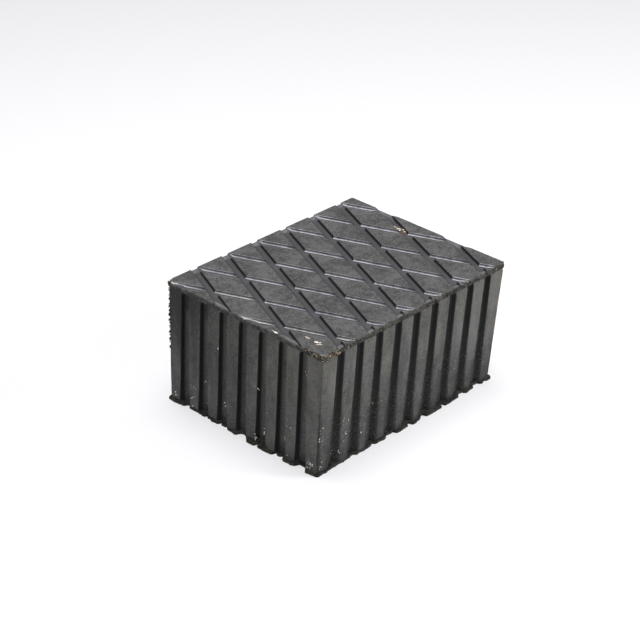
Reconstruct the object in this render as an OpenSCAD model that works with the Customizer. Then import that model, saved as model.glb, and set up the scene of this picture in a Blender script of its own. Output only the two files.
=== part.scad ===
// Rubber pad for a lifting jack: one moulded block with a diamond tread on top,
// tapering ribs on all four sides and a thin ragged flash round its foot.
// The block stands on its foot. X is the long side, Z is up.

/* [Block] */
// Length of the tread plate
block_l = 160; // [90:1:240]
// Width of the tread plate
block_w = 120; // [80:1:200]
// Height of the whole block
block_h = 80; // [50:1:140]
// Thickness of the solid plate that carries the tread
plate_t = 4; // [3.5:0.5:10]
// How far the plate stands out past the tops of the ribs
plate_lip = 0.8; // [0.2:0.1:2]
// How far each ribbed side leans in on its way down to the foot
side_draft = 2; // [0.5:0.1:4]
// Radius of the upright corners of the plate
corner_r = 0.8; // [0.5:0.1:6]

/* [Diamond tread] */
// Distance between neighbouring diamonds in a row
diamond_pitch_l = 24.8; // [16:0.1:50]
// Distance between two rows of diamonds, half a diamond's own length
diamond_pitch_w = 27.2; // [16:0.1:50]
// Depth of the grooves between the diamonds
tread_depth = 1.8; // [1:0.1:3]
// Width of a tread groove at the top of the diamonds
tread_groove_w = 5.6; // [5:0.1:8]
// Bevel along the top edges of the diamonds
diamond_bevel = 0.5; // [0.2:0.1:0.6]
// How much each wall of a tread groove leans out
tread_wall_lean = 0.2; // [0:0.05:0.4]
// Round at the bottom of a tread groove, cut as a bevel
tread_floor_round = 0.6; // [0.2:0.1:1]
// Depth that is left of a tread groove over the dam at its end
tread_end_depth = 1.1; // [0.6:0.1:1.5]
// Width of the top of a dam
dam_w = 1.4; // [0.6:0.1:3]
// How far a dam lies inside the side of the plate
dam_setback = 0.4; // [0.2:0.1:1]
// Place along the length of the crossing nearest to the block's middle
crossing_x = -9.4; // [-12:0.05:12]
// Place across the width of the crossing nearest to the block's middle
crossing_y = 4.75; // [-12:0.05:12]

/* [Side ribs] */
// Distance between grooves on the long sides
long_rib_pitch = 16.13; // [12:0.01:30]
// Distance between grooves on the short sides
short_rib_pitch = 15.19; // [12:0.01:30]
// Least width of the rib at each corner
corner_rib_w = 10.5; // [8:0.5:25]
// Depth of a side groove
side_groove_d = 2.9; // [1:0.1:5]
// Width of a side groove just under the plate
groove_top_w = 5.8; // [3:0.1:6]
// Width of a side groove's floor where its walls flare
groove_floor_w = 6.2; // [6.1:0.1:6.8]
// Width of a side groove's mouth where its flare begins
groove_flare_w = 6.9; // [7:0.1:8]
// Width of a side groove's mouth at the foot
groove_foot_w = 8.7; // [8:0.1:10]
// Height above the foot at which a groove begins to flare
flare_h = 17; // [5:1:30]
// Bevel down the upright corners of the ribbed body
corner_bevel = 0.8; // [0.2:0.1:4]

/* [Flash at the foot] */
// Thickness of the flash
flash_t = 1.6; // [0.5:0.1:3]
// How far the largest lobe of the flash reaches past the ribs
flash_reach = 2.6; // [1:0.1:2.7]
// How far the flash always reaches past the ribs
flash_least = 0.25; // [0.1:0.05:0.5]

/* [Hidden] */
$fn = 48;

// Cutters run this far past the surface that they open
CLEAR = 1;
// Least height of the wall between the lip and the floor of a tread groove
LEAST_WALL = 0.1;
// Points along each lobe of the flash
LOBE_STEPS = 9;
// A lobe of the flash is fullest past its middle, as this power sets
LOBE_SKEW = 2;
// Random numbers of the flash's lobes
FLASH_SEED = 41;

rib_h = block_h - plate_t;
top_l = block_l - 2 * plate_lip;
top_w = block_w - 2 * plate_lip;
foot_l = top_l - 2 * side_draft;
foot_w = top_w - 2 * side_draft;
draft_angle = atan(side_draft / rib_h);
diamond_angle = atan(diamond_pitch_l / 2 / diamond_pitch_w);

// Grooves that fit on a side, and where the first one lies from its middle
function groove_count(length, pitch) =
    floor((length - 2 * corner_rib_w - groove_top_w) / pitch) + 1;
function first_groove(length, pitch) = -(groove_count(length, pitch) - 1) * pitch / 2;

// A block whose cross-section is a trapezoid, as long as the third size
module leaning_block(foot, top, length, height) {
    rotate([90, 0, 0])
        linear_extrude(height = length, center = true)
            polygon([[-foot / 2, 0], [foot / 2, 0], [top / 2, height], [-top / 2, height]]);
}

// The body before its grooves. It leans in on all sides and its corners are bevelled.
// Its top lies inside the plate
module leaning_body() {
    inner_h = rib_h + plate_t / 4;
    grown = 2 * side_draft * inner_h / rib_h;
    // Width across two opposite upright corners, measured on the diagonal
    foot_d = (foot_l + foot_w - 2 * corner_bevel) * sin(45);
    intersection() {
        leaning_block(foot_l, foot_l + grown, block_w, inner_h);
        rotate([0, 0, 90])
            leaning_block(foot_w, foot_w + grown, block_l, inner_h);
        intersection_for(turn = [-45, 45])
            rotate([0, 0, turn])
                leaning_block(foot_d, foot_d + 2 * grown * sin(45), block_l + block_w, inner_h);
    }
}

// The outline of the plate, moved in on all sides, with round corners
module plate_outline(inset) {
    length = block_l - 2 * inset;
    width = block_w - 2 * inset;
    square([length - 2 * corner_r, width], center = true);
    square([length, width - 2 * corner_r], center = true);
    for (x = [-1, 1], y = [-1, 1])
        translate([x * (length / 2 - corner_r), y * (width / 2 - corner_r)])
            circle(r = corner_r);
}

// The plate that carries the tread
module tread_plate() {
    translate([0, 0, rib_h])
        linear_extrude(height = plate_t)
            plate_outline(0);
}

// One straight groove of the tread, with bevelled lips and a bevelled floor
module tread_groove() {
    lip = tread_groove_w / 2;
    wall = lip - diamond_bevel;
    foot = wall - tread_wall_lean;
    // The round at the floor leaves room for the bevel at the lip
    floor_round = min(tread_floor_round, tread_depth - diamond_bevel - LEAST_WALL);
    right = [
        [lip, CLEAR],
        [lip, 0],
        [wall, -diamond_bevel],
        [foot, floor_round - tread_depth],
        [foot - floor_round, -tread_depth],
    ];
    left = [for (i = [len(right) - 1:-1:0]) [-right[i][0], right[i][1]]];
    rotate([90, 0, 0])
        linear_extrude(height = 2 * (block_l + block_w), center = true)
            polygon(concat(right, left));
}

// Two families of parallel grooves, which leave the diamonds standing
module tread_grooves() {
    reach = block_l / 2 + block_w * tan(diamond_angle);
    each_way = ceil(reach / diamond_pitch_l);
    for (side = [-1, 1], i = [-each_way:each_way])
        translate([crossing_x + i * diamond_pitch_l, crossing_y, block_h])
            rotate([0, 0, side * diamond_angle])
                tread_groove();
}

// A low dam across the end of each tread groove, just inside the side of the plate. It is a
// ring that lies hidden in the diamonds, and its inner side slopes at 45 degrees
module groove_dams() {
    bottom = rib_h + plate_t / 4;
    ring_h = block_h - tread_end_depth - bottom;
    top_inset = dam_setback + dam_w;
    inner_l = block_l - 2 * top_inset;
    inner_w = block_w - 2 * top_inset;
    translate([0, 0, bottom])
        difference() {
            linear_extrude(height = ring_h)
                plate_outline(dam_setback);
            intersection() {
                leaning_block(inner_l - 2 * ring_h, inner_l + 2 * CLEAR, block_w, ring_h + CLEAR);
                rotate([0, 0, 90])
                    leaning_block(inner_w - 2 * ring_h, inner_w + 2 * CLEAR, block_l, ring_h + CLEAR);
            }
        }
}

// One groove of a ribbed side, from inside the plate down through the foot.
// Its outline on the face widens downwards; its section widens towards the mouth
module side_groove() {
    run = rib_h / cos(draft_angle);
    top = plate_t / 2;
    half_plate = groove_top_w / 2;
    half_flare = groove_flare_w / 2;
    half_foot = groove_foot_w / 2;
    half_top = half_plate - (half_flare - half_plate) / (run - flare_h) * top;
    intersection() {
        translate([0, side_groove_d, 0])
            rotate([90, 0, 0])
                linear_extrude(height = side_groove_d + CLEAR)
                    polygon([
                        [-half_top, top],
                        [-half_flare, flare_h - run],
                        [-half_foot, -run - CLEAR],
                        [half_foot, -run - CLEAR],
                        [half_flare, flare_h - run],
                        [half_top, top],
                    ]);
        translate([0, 0, -run - 2 * CLEAR])
            linear_extrude(height = run + top + 3 * CLEAR)
                polygon([
                    [-groove_floor_w / 2, side_groove_d],
                    [groove_floor_w / 2, side_groove_d],
                    [half_foot, 0],
                    [half_foot, -2 * CLEAR],
                    [-half_foot, -2 * CLEAR],
                    [-half_foot, 0],
                ]);
    }
}

// The row of grooves on one side, which faces -Y before it is turned
module side_grooves(length, depth, pitch) {
    for (i = [0:groove_count(length, pitch) - 1])
        translate([first_groove(length, pitch) + i * pitch, -depth / 2, rib_h])
            rotate([draft_angle, 0, 0])
                side_groove();
}

// The body under the plate, with its ribs
module ribbed_body() {
    difference() {
        leaning_body();
        for (turn = [0, 180]) {
            rotate([0, 0, turn])
                side_grooves(top_l, top_w, long_rib_pitch);
            rotate([0, 0, turn + 90])
                side_grooves(top_w, top_l, short_rib_pitch);
        }
    }
}

// How full a lobe is, from 0 to 1, at a fraction of the way along it
function lobe(part) = sin(180 * pow(part, LOBE_SKEW));

// The flash along one side as [place, reach] pairs. A lobe spans each rib, from groove
// to groove, and the lobes grow from the first share of flash_reach to the last one
function flash_side(top, foot, pitch, first_share, last_share, seed) =
    let (
        start = first_groove(top, pitch) - pitch,
        lobes = groove_count(top, pitch) + 1,
        uneven = rands(0.75, 1, lobes, seed)
    )
    [
        for (i = [0:lobes - 1], step = [0:LOBE_STEPS - 1])
            let (
                part = step / LOBE_STEPS,
                place = start + (i + part) * pitch,
                share = first_share + (last_share - first_share) * i / (lobes - 1),
                lobe_reach = (flash_reach - flash_least) * share * uneven[i]
            )
            if (abs(place) < foot / 2 - flash_reach)
                [place, flash_least + lobe_reach * lobe(part)]
    ];

// The flash: a thin ragged sheet that was squeezed out between the mould halves
module foot_flash() {
    front = flash_side(top_l, foot_l, long_rib_pitch, 0.15, 1, FLASH_SEED);
    right = flash_side(top_w, foot_w, short_rib_pitch, 0.9, 0.5, FLASH_SEED + 1);
    back = flash_side(top_l, foot_l, long_rib_pitch, 0.5, 0.9, FLASH_SEED + 2);
    left = flash_side(top_w, foot_w, short_rib_pitch, 0.6, 0.6, FLASH_SEED + 3);
    x = foot_l / 2 + flash_least;
    y = foot_w / 2 + flash_least;
    linear_extrude(height = flash_t)
        polygon(concat(
            [[-x, -y]], [for (p = front) [p[0], -foot_w / 2 - p[1]]],
            [[x, -y]], [for (p = right) [foot_l / 2 + p[1], p[0]]],
            [[x, y]], [for (p = back) [-p[0], foot_w / 2 + p[1]]],
            [[-x, y]], [for (p = left) [-foot_l / 2 - p[1], -p[0]]]
        ));
}

module rubber_block() {
    color([0.25, 0.25, 0.25]) {
        difference() {
            union() {
                ribbed_body();
                tread_plate();
            }
            tread_grooves();
        }
        groove_dams();
        foot_flash();
    }
}

rubber_block();
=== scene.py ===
# %% [markdown]
# # A rubber pad for a lifting jack
# This lesson dresses one moulded rubber block: a diamond tread on top, tapering ribs on
# all four sides, and a thin ragged flash where the mould halves met at the foot.
# The solid model from the CAD side is loaded first and stays as it is. It is the frame
# that every piece is set against, in metres, with Z up and the foot on the floor.

# %% Load the solid model
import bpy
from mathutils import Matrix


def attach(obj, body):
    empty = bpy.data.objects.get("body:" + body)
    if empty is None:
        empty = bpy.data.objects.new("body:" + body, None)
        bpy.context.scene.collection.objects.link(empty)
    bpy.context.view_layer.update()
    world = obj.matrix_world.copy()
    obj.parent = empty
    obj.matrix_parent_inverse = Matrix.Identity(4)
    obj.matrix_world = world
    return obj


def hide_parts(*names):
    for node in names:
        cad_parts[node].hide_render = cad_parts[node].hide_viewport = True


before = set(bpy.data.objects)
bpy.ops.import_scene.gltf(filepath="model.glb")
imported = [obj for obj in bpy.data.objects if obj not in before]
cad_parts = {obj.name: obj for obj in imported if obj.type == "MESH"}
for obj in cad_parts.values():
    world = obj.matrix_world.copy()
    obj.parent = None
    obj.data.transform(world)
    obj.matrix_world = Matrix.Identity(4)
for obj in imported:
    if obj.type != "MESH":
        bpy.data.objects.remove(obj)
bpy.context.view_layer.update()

# %% Bring in Blender's tools
import bpy
import bmesh
import math
import random
from mathutils import Matrix, Vector, noise

scene = bpy.context.scene
mm = 0.001


def add_object(name, data):
    """Put a mesh, a lamp or a camera into the scene."""
    made = bpy.data.objects.new(name, data)
    scene.collection.objects.link(made)
    return made


def mesh_object(name, points, faces=()):
    """An object with a mesh of these points and faces."""
    mesh = bpy.data.meshes.new(name)
    mesh.from_pydata(points, [], faces)
    return add_object(name, mesh)


# %% [markdown]
# ## The block's sizes
# The numbers come from the part's source, so that the dressed block and the solid agree.
# Sizes are written in millimetres and turned into metres once, by the factor above.

# %% Sizes of the block
LENGTH = 160 * mm
WIDTH = 120 * mm
HEIGHT = 80 * mm
HALF_L = LENGTH / 2
HALF_W = WIDTH / 2
PLATE_T = 4 * mm
PLATE_LIP = 0.8 * mm
DRAFT = 2 * mm
CORNER_R = 0.8 * mm
RIB_H = HEIGHT - PLATE_T
CORNERS = ((-1, -1), (-1, 1), (1, -1), (1, 1))
print("ribs are", round(RIB_H / mm, 1), "mm high under a", round(PLATE_T / mm, 1), "mm plate")


# %% Places on the block
def from_rim(point):
    """How far inside the block's outline a point lies."""
    return min(HALF_L - abs(point.x), HALF_W - abs(point.y))


def from_front(point):
    """How far behind the front side or the left side a point lies, by the nearer one."""
    return min(point.x + HALF_L, point.y + HALF_W)


def from_corner(point):
    """How far a point lies from the front corner, seen from above."""
    return math.hypot(point.x + HALF_L, point.y + HALF_W)


def in_box(point, lowest=0.0):
    """The same point, pressed back inside the block's box and above a height."""
    return Vector((
        min(max(point.x, -HALF_L), HALF_L),
        min(max(point.y, -HALF_W), HALF_W),
        min(max(point.z, lowest), HEIGHT),
    ))


# %% Soft steps
def ramp(value, start, end):
    """A share that grows from 0 at the start to 1 at the end, and stays there."""
    return min(max((value - start) / (end - start), 0), 1)


def smooth(share):
    return share * share * (3 - 2 * share)


def band(value, low, high, soft):
    """1 between two values, with a soft step at each."""
    return ramp(value, low, low + soft) * ramp(value, high, high - soft)


def wobble(point, blob, seed=0.0):
    """Soft noise from -1 to 1, with blobs of about this size."""
    return noise.noise(Vector(point) / blob + Vector((seed, seed * 1.7, seed * 0.6)))


print("half way up a smooth step:", smooth(ramp(0.5, 0, 1)))

# %% [markdown]
# ## The camera
# A long lens, far away, keeps the block's edges almost parallel, as in a product
# photograph. The camera stands to the left of the front corner and a little above it,
# with a slight roll. Its matrix is built from the three angles, so nothing has to track.

# %% Camera
CAMERA_AT = Vector((-0.770924, -0.650235, 0.608167))
AZIMUTH = -0.860626
ELEVATION = 0.508122
ROLL = 0.0493784

back = Vector((
    math.sin(AZIMUTH) * math.cos(ELEVATION),
    -math.cos(AZIMUTH) * math.cos(ELEVATION),
    math.sin(ELEVATION),
))
level = Vector((0, 0, 1)).cross(back).normalized()
above = back.cross(level)
right = math.cos(ROLL) * level + math.sin(ROLL) * above
up = math.cos(ROLL) * above - math.sin(ROLL) * level

lens = bpy.data.cameras.new("camera")
lens.sensor_width = 36
lens.lens = 110.63
camera = add_object("camera", lens)
camera.matrix_world = Matrix.Translation(CAMERA_AT) @ Matrix((right, up, back)).transposed().to_4x4()
scene.camera = camera
print("camera is", round(CAMERA_AT.length, 3), "m from the block's foot")

# %% [markdown]
# ## Node trees as sums
# Shader maths reads best as a sum in Python. The small class below wraps a socket, and
# adding or multiplying two wrapped sockets puts the Math node into the tree. One method,
# `node`, makes every other node: first its settings, then its sockets.
# The same two classes serve the materials and the Geometry Nodes.


# %% A socket that can be used in a sum
class Wire:
    """One output socket of a node."""

    def __init__(self, tree, socket):
        self.tree = tree
        self.socket = socket

    def out(self, name):
        """Another output of the same node."""
        return Wire(self.tree, pick(self.socket.node.outputs, name))

    def __add__(self, other):
        return self.tree.maths("ADD", self, other)

    def __radd__(self, other):
        return self.tree.maths("ADD", other, self)

    def __sub__(self, other):
        return self.tree.maths("SUBTRACT", self, other)

    def __rsub__(self, other):
        return self.tree.maths("SUBTRACT", other, self)

    def __mul__(self, other):
        return self.tree.maths("MULTIPLY", self, other)

    def __rmul__(self, other):
        return self.tree.maths("MULTIPLY", other, self)

    def __truediv__(self, other):
        return self.tree.maths("DIVIDE", self, other)


def pick(sockets, key):
    """A socket by its number, or the first one in use that has the name."""
    if isinstance(key, int):
        return sockets[key]
    return next(s for s in sockets if s.enabled and s.name == key)


# %% A tree that makes its nodes by one method
class Tree:
    """A node tree of a material or of a Geometry Nodes group."""

    def __init__(self, tree):
        self.tree = tree

    def node(self, kind, settings=None, inputs=None, output=0):
        """Add a node: its settings first, then the values or wires of its sockets."""
        made = self.tree.nodes.new(kind)
        for name, value in (settings or {}).items():
            setattr(made, name, value)
        for name, value in (inputs or {}).items():
            socket = pick(made.inputs, name)
            if isinstance(value, Wire):
                self.tree.links.new(value.socket, socket)
            else:
                socket.default_value = value
        return Wire(self, pick(made.outputs, output)) if made.outputs else None

    def maths(self, operation, first, second=0.0):
        return self.node("ShaderNodeMath", {"operation": operation}, {0: first, 1: second})

    def split(self, vector):
        """The three numbers of a vector."""
        x = self.node("ShaderNodeSeparateXYZ", None, {"Vector": vector}, "X")
        return x, x.out("Y"), x.out("Z")

    def limit(self, value, low, high, new_low=0.0, new_high=1.0):
        """Stretch a value softly from one range to another, and stop at its ends."""
        return self.node(
            "ShaderNodeMapRange", {"interpolation_type": "SMOOTHSTEP"},
            {"Value": value, "From Min": low, "From Max": high, "To Min": new_low, "To Max": new_high},
        )

    def blend(self, factor, first, second):
        """Mix two colours."""
        first, second = [c if isinstance(c, Wire) else (*c, 1) for c in (first, second)]
        inputs = {"Factor": factor, "A": first, "B": second}
        return self.node("ShaderNodeMix", {"data_type": "RGBA"}, inputs, "Result")

    def grain(self, where, scale, detail, roughness, stretch=None):
        """Noise over the surface. The scale counts its blobs in a metre."""
        if stretch:
            where = self.node("ShaderNodeVectorMath", {"operation": "MULTIPLY"}, {0: where, 1: stretch})
        inputs = {"Vector": where, "Scale": scale, "Detail": detail, "Roughness": roughness}
        return self.node("ShaderNodeTexNoise", None, inputs, "Fac")

    def mask(self, name):
        """A share that the mesh carries at each vertex."""
        return self.node("ShaderNodeAttribute", {"attribute_name": name}, output="Fac")


# %% [markdown]
# ## Floor, world and lamps
# The photograph's ground is white paper, lit so that it almost burns out, while the black
# rubber needs a plain level of light. So the floor and the world look white to the camera
# and in reflections by their own colour, and the floor's diffuse share keeps the shadow.


# %% A new material with an empty tree
def new_material(name):
    material = bpy.data.materials.new(name)
    material.use_nodes = True
    material.node_tree.nodes.clear()
    return material, Tree(material.node_tree)


def seen_plainly(tree):
    """1 for rays from the camera, and for mirrored and refracted ones."""
    path = tree.node("ShaderNodeLightPath", output="Is Camera Ray")
    mirrored = tree.maths("MAXIMUM", path.out("Is Glossy Ray"), path.out("Is Transmission Ray"))
    return tree.maths("MAXIMUM", path, mirrored)


# %% Floor
FLOOR_SIZE = 4
OWN_LIGHT_SHARE = 0.4

paper, tree = new_material("white_paper")
own_light = tree.node("ShaderNodeEmission", None, {"Color": (1, 1, 1, 1), "Strength": 1.25})
lit = tree.node("ShaderNodeBsdfDiffuse", None, {"Color": (0.795, 0.79, 0.83, 1)})
own_share = seen_plainly(tree) * OWN_LIGHT_SHARE
shown = tree.node("ShaderNodeMixShader", None, {0: own_share, 1: lit, 2: own_light})
tree.node("ShaderNodeOutputMaterial", None, {"Surface": shown})

outline = [(x * FLOOR_SIZE, y * FLOOR_SIZE, 0) for x, y in ((-1, -1), (1, -1), (1, 1), (-1, 1))]
floor = mesh_object("floor", outline, [(0, 1, 2, 3)])
floor.data.materials.append(paper)
print("floor:", 2 * FLOOR_SIZE, "m wide")

# %% World
LIGHT_ON_RUBBER = 0.14

world = bpy.data.worlds.new("studio")
scene.world = world
world.use_nodes = True
world.node_tree.nodes.clear()
tree = Tree(world.node_tree)
strength = LIGHT_ON_RUBBER + seen_plainly(tree) * (1 - LIGHT_ON_RUBBER)
around = tree.node("ShaderNodeBackground", None, {"Color": (1, 1, 1, 1), "Strength": strength})
tree.node("ShaderNodeOutputWorld", None, {"Surface": around})
print("the world lights the rubber at", LIGHT_ON_RUBBER)


# %% Lamps
def soft_box(name, at, size, watts):
    """A square lamp that faces the block's middle."""
    lamp = bpy.data.lights.new(name, "AREA")
    lamp.shape = "SQUARE"
    lamp.size = size
    lamp.energy = watts
    box = add_object(name, lamp)
    box.location = at
    box.rotation_euler = (Vector(at) - Vector((0, 0, HALF_L / 2))).to_track_quat("Z", "Y").to_euler()


soft_box("lamp_above", (-0.06, 0.1, 0.9), 0.62, 8)
soft_box("lamp_right", (0.75, -0.85, 0.55), 0.5, 12)
soft_box("lamp_left", (-0.7, -0.5, 0.3), 0.35, 1.6)
scene.view_settings.view_transform = "Standard"

# %% [markdown]
# ## Rubber
# The rubber is black, but the picture shows it grey: its face is matt, slightly dusty,
# and mottled by patches where the mould was wiped. The tree mixes these from noise at
# several scales on the Object coordinates. Seven masks that the mesh carries tell the
# rest: where painted shade darkens a groove (recess), which groove walls get black
# painted shade (steep) or dark violet painted shade (dusk), where painted highlights
# line the rounds of the tread grooves (polish), where painted light and shade with a
# little pale dust lighten or darken a side (bloom), where the rubber was torn off the
# mould (torn), and a little brown stain (stain).

# %% What the rubber's tree reads
rubber, tree = new_material("moulded_rubber")
place = tree.node("ShaderNodeTexCoord", output="Object")
along, across, height = tree.split(place)
recess, steep, dusk, polish, bloom, torn, stain = [
    tree.mask(name) for name in ("recess", "steep", "dusk", "polish", "bloom", "torn", "stain")
]
top_face = tree.limit(height, RIB_H, RIB_H + 0.8 * mm)

patches = tree.grain(place, 60, 4, 0.6)
smudges = tree.grain(place, 240, 3, 0.6)
specks = tree.grain(place, 1100, 2, 0.6)
streaks = tree.grain(place, 170, 3, 0.55, stretch=(1, 1, 0.15))
clouds = tree.grain(place, 45, 3, 0.6, stretch=(1.3, 0.8, 1))
warmth = tree.limit(clouds + (height - HEIGHT / 2) * 3, 0.4, 0.6)


def mix_noise(*parts):
    """A sum of noises round 0, each with its amount."""
    first, *others = [(grain - 0.5) * amount for grain, amount in parts]
    for other in others:
        first = first + other
    return first


print("noises and masks:", len(rubber.node_tree.nodes), "nodes")

# %% Tones of the faces
mottle = mix_noise((patches, 0.8), (smudges, 0.7), (specks, 1.1))
broad = mix_noise((patches, 0.5), (smudges, 0.25), (specks, 0.45), (streaks, 0.4))
patchy = tree.limit(patches, 0.4, 0.6)
side_light = tree.blend(warmth, (0.108, 0.109, 0.109), (0.122, 0.12, 0.108))
# Painted light and shade, with some pale dust, lighten or darken the sides by their mask (bloom)
side_tone = tree.blend(tree.limit(broad + bloom, -0.32, 0.32), (0.016, 0.016, 0.015), side_light)
top_light = tree.blend(patchy, (0.098, 0.096, 0.092), (0.094, 0.093, 0.095))
top_tone = tree.blend(tree.limit(mottle, -0.24, 0.22), (0.022, 0.022, 0.023), top_light)
tone = tree.blend(top_face, side_tone, top_tone)
tone = tree.blend(tree.limit(specks, 0.65, 0.72) * 0.5, tone, (0.22, 0.22, 0.2))
print("with the faces:", len(rubber.node_tree.nodes), "nodes")

# %% Tones of the grooves, with painted shade
dust = tree.limit(specks, 0.53, 0.63) * tree.limit(height, 55 * mm, 25 * mm) * 0.5
# Painted shade: the side grooves are dark, with pale dust low down
deep_side = tree.blend(dust, (0.026, 0.026, 0.025), (0.13, 0.13, 0.125))
deep_top = tree.blend(patchy, (0.052, 0.051, 0.055), (0.062, 0.061, 0.068))
tone = tree.blend(recess, tone, tree.blend(top_face, deep_side, deep_top))
# Dark violet painted shade on the other family's tread walls
tone = tree.blend(dusk, tone, (0.018, 0.017, 0.032))
# Black painted shade on one family's tread walls and in the side grooves
tone = tree.blend(steep, tone, (0.005, 0.005, 0.006))
print("with the grooves:", len(rubber.node_tree.nodes), "nodes")

# %% Painted highlight lines, the torn rim and the stain
# Painted highlight: pale lines on the rounds of one family of tread grooves, cream towards the front and
# lavender behind, under a clear coat of the same share
uneven = mix_noise((tree.grain(place, 35, 2, 0.5), 140 * mm))
warm_front = tree.limit(along + across * 0.5 + uneven, -40 * mm, -65 * mm)
glint = polish * tree.limit(patches * 0.5 + smudges * 0.5, 0.38, 0.54, 0.55, 1)
tone = tree.blend(glint, tone, tree.blend(warm_front, (0.77, 0.77, 0.83), (0.88, 0.86, 0.81)))
torn_dark = tree.blend(top_face, (0.007, 0.007, 0.006), (0.012, 0.011, 0.009))
torn_light = tree.blend(top_face, (0.04, 0.038, 0.033), (0.068, 0.064, 0.052))
torn_tone = tree.blend(tree.limit(smudges + (specks - 0.5) * 0.8, 0.42, 0.6), torn_dark, torn_light)
tone = tree.blend(torn, tone, torn_tone)
tone = tree.blend(stain * tree.limit(smudges, 0.4, 0.6), tone, (0.27, 0.18, 0.11))
print("with lines, rim and stain:", len(rubber.node_tree.nodes), "nodes")


# %% Relief and sheen
def leathery(tree, strength, depth, bumps):
    """A bump from a sum of noises."""
    inputs = {"Strength": strength, "Distance": depth, "Height": bumps}
    return tree.node("ShaderNodeBump", None, inputs, "Normal")


sheen = tree.limit(smudges + patches, 0.8, 1.2, 0.6, 0.74) + torn * 0.15
skin = tree.node("ShaderNodeBsdfPrincipled", None, {
    "Base Color": tone,
    "Roughness": sheen,
    "Specular IOR Level": 0.24,
    "Coat Weight": glint,
    "Coat Roughness": 0.2,
    "Normal": leathery(tree, 0.45, 0.4 * mm, specks * 0.5 + smudges * 0.9 + patches * 1.2),
})
tree.node("ShaderNodeOutputMaterial", None, {"Surface": skin})
print("rubber material has", len(rubber.node_tree.nodes), "nodes")

# %% [markdown]
# ## From a Geometry Nodes tree to a plain mesh
# What repeats is made by Geometry Nodes. A tree gets named inputs, runs once on an empty
# object, and the result is kept as a plain mesh, so no modifier is left on a piece.

# %% Run a tree and keep its mesh
INPUT_KINDS = {
    "int": "NodeSocketInt",
    "length": "NodeSocketFloat",
    "vector": "NodeSocketVector",
    "object": "NodeSocketObject",
    "material": "NodeSocketMaterial",
}


def new_growth(name, inputs):
    """A Geometry Nodes group with named inputs, and a wire for each of them."""
    group = bpy.data.node_groups.new(name, "GeometryNodeTree")
    for label, kind in inputs.items():
        group.interface.new_socket(label, in_out="INPUT", socket_type=INPUT_KINDS[kind])
    group.interface.new_socket("Mesh", in_out="OUTPUT", socket_type="NodeSocketGeometry")
    tree = Tree(group)
    first = tree.node("NodeGroupInput")
    return tree, {label: first.out(label) for label in inputs}


def shape_of(tree, piece):
    """The mesh of an object that was given to the tree."""
    return tree.node("GeometryNodeObjectInfo", None, {"Object": piece}, "Geometry")


def copies(tree, points, shape, **more):
    """A copy of a shape at each point."""
    return tree.node("GeometryNodeInstanceOnPoints", None, {"Points": points, "Instance": shape, **more})


def point_line(tree, count, start, step):
    """Points in a straight row."""
    return tree.node("GeometryNodeMeshLine", None, {"Count": count, "Start Location": start, "Offset": step})


def close_growth(tree, mesh, finish):
    """End a tree: real meshes in place of instances, and one material."""
    real = tree.node("GeometryNodeRealizeInstances", None, {"Geometry": mesh})
    dressed = tree.node("GeometryNodeSetMaterial", None, {"Geometry": real, "Material": finish})
    tree.node("NodeGroupOutput", None, {0: dressed})
    print("tree", tree.tree.name, "has", len(tree.tree.nodes), "nodes")


def grow(name, tree, values):
    """Run a tree with these input values and return an object with the plain mesh."""
    piece = add_object(name, bpy.data.meshes.new(name))
    modifier = piece.modifiers.new("grown", "NODES")
    modifier.node_group = tree.tree
    for item in tree.tree.interface.items_tree:
        if item.in_out == "INPUT":
            modifier[item.identifier] = values[item.name]
    graph = bpy.context.evaluated_depsgraph_get()
    plain = bpy.data.meshes.new_from_object(piece.evaluated_get(graph), depsgraph=graph)
    piece.modifiers.clear()
    piece.data = plain
    plain.name = name
    return piece


def drop(piece):
    """Remove an object that only fed a tree."""
    mesh = piece.data
    bpy.data.objects.remove(piece)
    bpy.data.meshes.remove(mesh)


def keep_mesh(bm, name):
    """Turn what bmesh holds into a mesh."""
    mesh = bpy.data.meshes.new(name)
    bm.to_mesh(mesh)
    bm.free()
    return mesh


# %% [markdown]
# ## The diamond tread
# Two families of straight grooves cross at a small angle and leave diamonds standing.
# A square grid whose lines run along both families gives clean walls everywhere: each
# grid line takes its distance and its depth from one section through a groove, and a
# point lies as deep as the deeper of its two lines. The section is drawn here, from the
# middle of a groove to the middle of a pad, with a soft lip and a round at the floor.

# %% Section through a tread groove
DIAMOND_PITCH_L = 24.8 * mm
DIAMOND_PITCH_W = 27.2 * mm
TREAD_DEPTH = 1.8 * mm
TREAD_GROOVE_W = 5.6 * mm
CROSSING = (-9.4 * mm, 4.75 * mm)
DIAMOND_ANGLE = math.atan(DIAMOND_PITCH_L / 2 / DIAMOND_PITCH_W)
GROOVE_PITCH = DIAMOND_PITCH_L * math.cos(DIAMOND_ANGLE)
# The pattern lies a little askew on this block: its turn and stretch, and the way back
ASKEW = ((1.0064, 0.016), (-0.008, 1.0075))
UPRIGHT = ((0.9936, -0.016), (0.008, 0.9925))


def stretched(rows, point):
    """The x and y of a point after a turn and stretch."""
    return tuple(a * point.x + b * point.y for a, b in rows)


def bend(first, corner, last, steps):
    """Points on a round from the first point to the last, under a corner."""
    return [
        tuple((1 - t) ** 2 * a + 2 * t * (1 - t) * b + t * t * c for a, b, c in zip(first, corner, last))
        for t in [i / steps for i in range(steps + 1)]
    ]


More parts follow.
